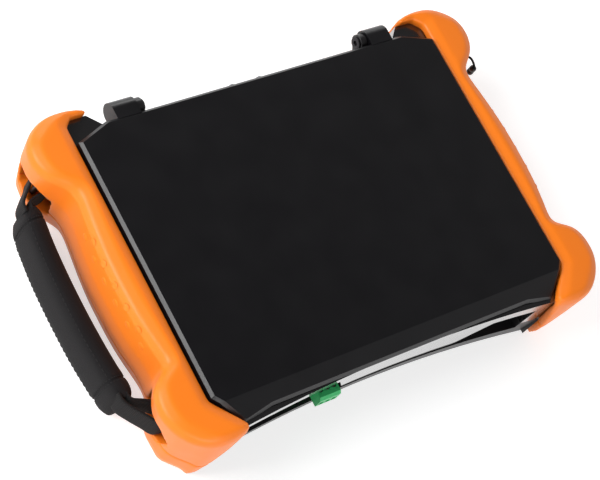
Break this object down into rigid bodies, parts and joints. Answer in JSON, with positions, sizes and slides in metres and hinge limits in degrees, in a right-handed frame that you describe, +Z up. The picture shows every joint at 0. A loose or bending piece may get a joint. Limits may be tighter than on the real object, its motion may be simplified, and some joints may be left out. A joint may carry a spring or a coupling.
{
  "type": "handheld camera tester",
  "caption": "Handheld field tester shaped as a thick tablet: hinged cover over screen and keys, rubber bumpers on both ends, port edge and hand strap.",
  "frame": {"origin": "on the resting plane, under the middle of the hard case", "axes": "+X along the long side, away from the hand strap; +Y from the port edge to the hinge edge; +Z up, out of the screen"},
  "size_m": [0.2807, 0.175, 0.0524],
  "materials": {
    "shell_black": "moulded, fine satin",
    "cover_black": "satin, fine grain",
    "steel": "zinc plated",
    "bracket_black": "moulded",
    "bumper_orange": "satin moulded rubber with small raised dots",
    "bar_steel": "blackened",
    "pad_fabric": "coated woven nylon",
    "webbing": "flat woven nylon",
    "cord": "braided",
    "bead": "moulded",
    "screen_glass": "polished",
    "display": "dark panel",
    "sheet_steel": "stamped",
    "key_rubber": "matte",
    "mat_rubber": "matte",
    "circuit_board": "solder mask",
    "battery": "shrink sleeve",
    "panel_black": "moulded",
    "connector_metal": "nickel plated",
    "connector_black": "moulded",
    "terminal_green": "moulded",
    "clear_lamp": "polished"
  },
  "bodies": {
    "case": {"back_shell": "shell_black", "front_shell": "shell_black", "left_hinge_pin": "steel", "right_hinge_pin": "steel", "hinge_bracket_screws": "steel", "case_screws": "steel", "board_screws": "steel", "inner_screws": "steel", "left_hinge_bracket": "bracket_black", "right_hinge_bracket": "bracket_black", "left_bumper_upper": "bumper_orange", "right_bumper_upper": "bumper_orange", "left_bumper_lower": "bumper_orange", "right_bumper_lower": "bumper_orange", "left_strap_bar_rear": "bar_steel", "left_strap_bar_front": "bar_steel", "right_strap_bar_rear": "bar_steel", "right_strap_bar_front": "bar_steel", "lanyard_cord": "cord", "lanyard_bead": "bead", "touch_glass": "screen_glass", "display_module": "display", "display_carrier": "sheet_steel", "speaker": "sheet_steel", "keypad_mat": "mat_rubber", "keypad_board": "circuit_board", "main_board": "circuit_board", "front_port_board": "circuit_board", "rear_port_board": "circuit_board", "wireless_antenna": "circuit_board", "battery_pack": "battery", "front_port_panel": "panel_black", "rear_port_panel": "panel_black", "network_jacks": "connector_metal", "usb_socket": "connector_metal", "video_socket": "connector_metal", "coax_sockets": "connector_metal", "power_jack": "connector_black", "audio_jack": "connector_black", "terminal_header": "terminal_green", "torch_lamps": "clear_lamp"},
    "screen_cover": {"screen_cover": "cover_black"},
    "terminal_plug": {"terminal_plug": "terminal_green", "terminal_screws": "steel"},
    "hand_strap": {"strap_grip_pad": "pad_fabric", "strap_webbing_rear": "webbing", "strap_webbing_front": "webbing"},
    "key_01": {"key_01": "key_rubber"},
    "key_02": {"key_02": "key_rubber"},
    "key_03": {"key_03": "key_rubber"},
    "key_04": {"key_04": "key_rubber"},
    "key_05": {"key_05": "key_rubber"},
    "key_06": {"key_06": "key_rubber"},
    "key_07": {"key_07": "key_rubber"},
    "key_08": {"key_08": "key_rubber"},
    "key_09": {"key_09": "key_rubber"},
    "key_10": {"key_10": "key_rubber"},
    "key_11": {"key_11": "key_rubber"},
    "key_12": {"key_12": "key_rubber"}
  },
  "joints": [
    {"name": "cover_hinge", "type": "hinge", "parent": "case", "child": "screen_cover", "pos_m": [0, 0.0799, 0.0469], "axis": [-1, 0, 0], "range_deg": [0, 180]},
    {"name": "terminal_plug_pull", "type": "slide", "parent": "case", "child": "terminal_plug", "axis": [0, -1, 0], "range_m": [0, 0.012]},
    {"name": "hand_strap_slack", "type": "slide", "parent": "case", "child": "hand_strap", "axis": [-1, 0, 0], "range_m": [0, 0.002]},
    {"name": "key_01_press", "type": "slide", "parent": "case", "child": "key_01", "axis": [0, 0, -1], "range_m": [0, 0.0008], "stiffness_N_per_m": 800, "springref_m": -0.0004},
    {"name": "key_02_press", "type": "slide", "parent": "case", "child": "key_02", "axis": [0, 0, -1], "range_m": [0, 0.0008], "stiffness_N_per_m": 800, "springref_m": -0.0004},
    {"name": "key_03_press", "type": "slide", "parent": "case", "child": "key_03", "axis": [0, 0, -1], "range_m": [0, 0.0008], "stiffness_N_per_m": 800, "springref_m": -0.0004},
    {"name": "key_04_press", "type": "slide", "parent": "case", "child": "key_04", "axis": [0, 0, -1], "range_m": [0, 0.0008], "stiffness_N_per_m": 800, "springref_m": -0.0004},
    {"name": "key_05_press", "type": "slide", "parent": "case", "child": "key_05", "axis": [0, 0, -1], "range_m": [0, 0.0008], "stiffness_N_per_m": 800, "springref_m": -0.0004},
    {"name": "key_06_press", "type": "slide", "parent": "case", "child": "key_06", "axis": [0, 0, -1], "range_m": [0, 0.0008], "stiffness_N_per_m": 800, "springref_m": -0.0004},
    {"name": "key_07_press", "type": "slide", "parent": "case", "child": "key_07", "axis": [0, 0, -1], "range_m": [0, 0.0008], "stiffness_N_per_m": 800, "springref_m": -0.0004},
    {"name": "key_08_press", "type": "slide", "parent": "case", "child": "key_08", "axis": [0, 0, -1], "range_m": [0, 0.0008], "stiffness_N_per_m": 800, "springref_m": -0.0004},
    {"name": "key_09_press", "type": "slide", "parent": "case", "child": "key_09", "axis": [0, 0, -1], "range_m": [0, 0.0008], "stiffness_N_per_m": 800, "springref_m": -0.0004},
    {"name": "key_10_press", "type": "slide", "parent": "case", "child": "key_10", "axis": [0, 0, -1], "range_m": [0, 0.0008], "stiffness_N_per_m": 800, "springref_m": -0.0004},
    {"name": "key_11_press", "type": "slide", "parent": "case", "child": "key_11", "axis": [0, 0, -1], "range_m": [0, 0.0008], "stiffness_N_per_m": 800, "springref_m": -0.0004},
    {"name": "key_12_press", "type": "slide", "parent": "case", "child": "key_12", "axis": [0, 0, -1], "range_m": [0, 0.0008], "stiffness_N_per_m": 800, "springref_m": -0.0004}
  ]
}
